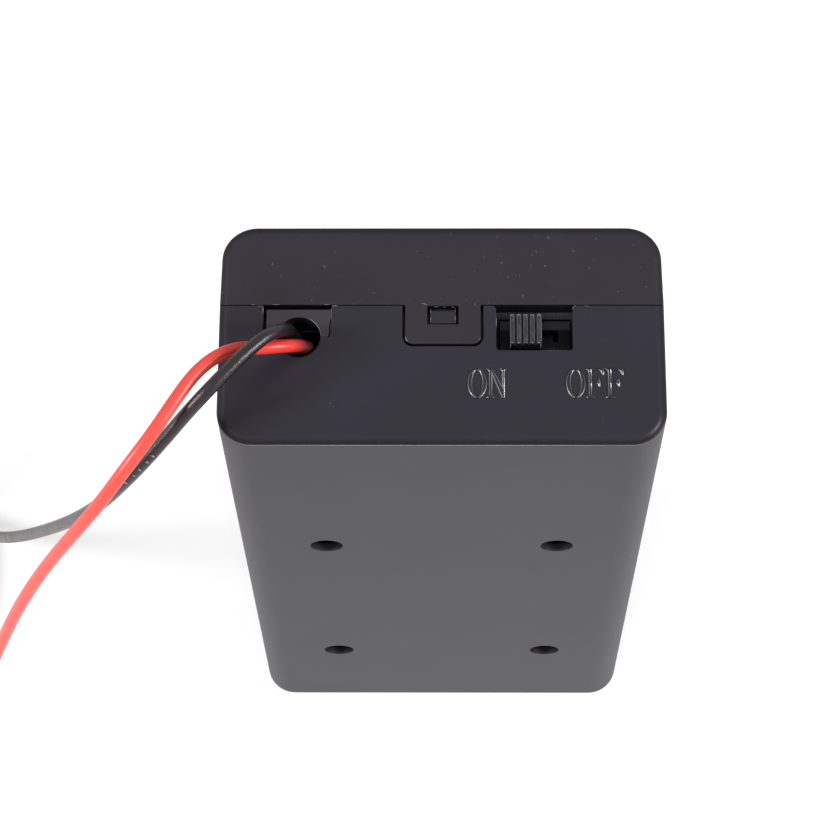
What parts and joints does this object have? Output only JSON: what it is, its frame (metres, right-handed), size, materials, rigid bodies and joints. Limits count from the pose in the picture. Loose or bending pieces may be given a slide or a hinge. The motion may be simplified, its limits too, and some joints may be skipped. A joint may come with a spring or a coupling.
{
  "type": "cylindrical battery holder",
  "caption": "Enclosed box for two AA cells side by side, with a snap lid, a slide switch at one end and a red and a black lead.",
  "frame": {"origin": "centre of the blind end on which the box stands, without its leads", "axes": "+Z along the box to the switch end, X across its width, the base with the screw holes faces -Y and the lid +Y"},
  "size_m": [0.0767, 0.0434, 0.0724],
  "materials": {
    "black_abs": "fine matt moulded ABS",
    "slider_plastic": "matt moulded",
    "switch_plastic": "matt moulded",
    "base_plate": "brown laminate board",
    "nickel_strip": "nickel plated strip",
    "spring_wire": "nickel plated spring wire",
    "bronze": "phosphor bronze",
    "blade_metal": "tin plated",
    "solder": "solder, smooth",
    "red_jacket": "smooth PVC",
    "black_jacket": "smooth PVC",
    "tinned_core": "tinned strands"
  },
  "bodies": {
    "box": {"case": "black_abs", "compartment_cover": "black_abs", "link_plate": "nickel_strip", "link_spring": "spring_wire", "positive_contact": "nickel_strip", "negative_contact": "nickel_strip", "negative_spring": "spring_wire", "switch_housing": "switch_plastic", "switch_base": "base_plate", "terminal_on": "blade_metal", "terminal_common": "blade_metal", "terminal_off": "blade_metal", "jumper_wire": "black_jacket", "wire_red": "red_jacket", "wire_black": "black_jacket", "red_bare_end": "tinned_core", "black_bare_end": "tinned_core", "solder_positive": "solder", "solder_negative": "solder", "solder_switch": "solder", "solder_common": "solder"},
    "cover": {"lid": "black_abs"},
    "slider": {"switch_slider": "slider_plastic", "switch_clip": "bronze"}
  },
  "joints": [
    {"name": "lid_hinge", "type": "hinge", "parent": "box", "child": "cover", "pos_m": [0, 0.0024, 0], "axis": [-1, 0, 0], "range_deg": [0, 70]},
    {"name": "switch_slide", "type": "slide", "parent": "box", "child": "slider", "axis": [1, 0, 0], "range_m": [0, 0.0015]}
  ]
}
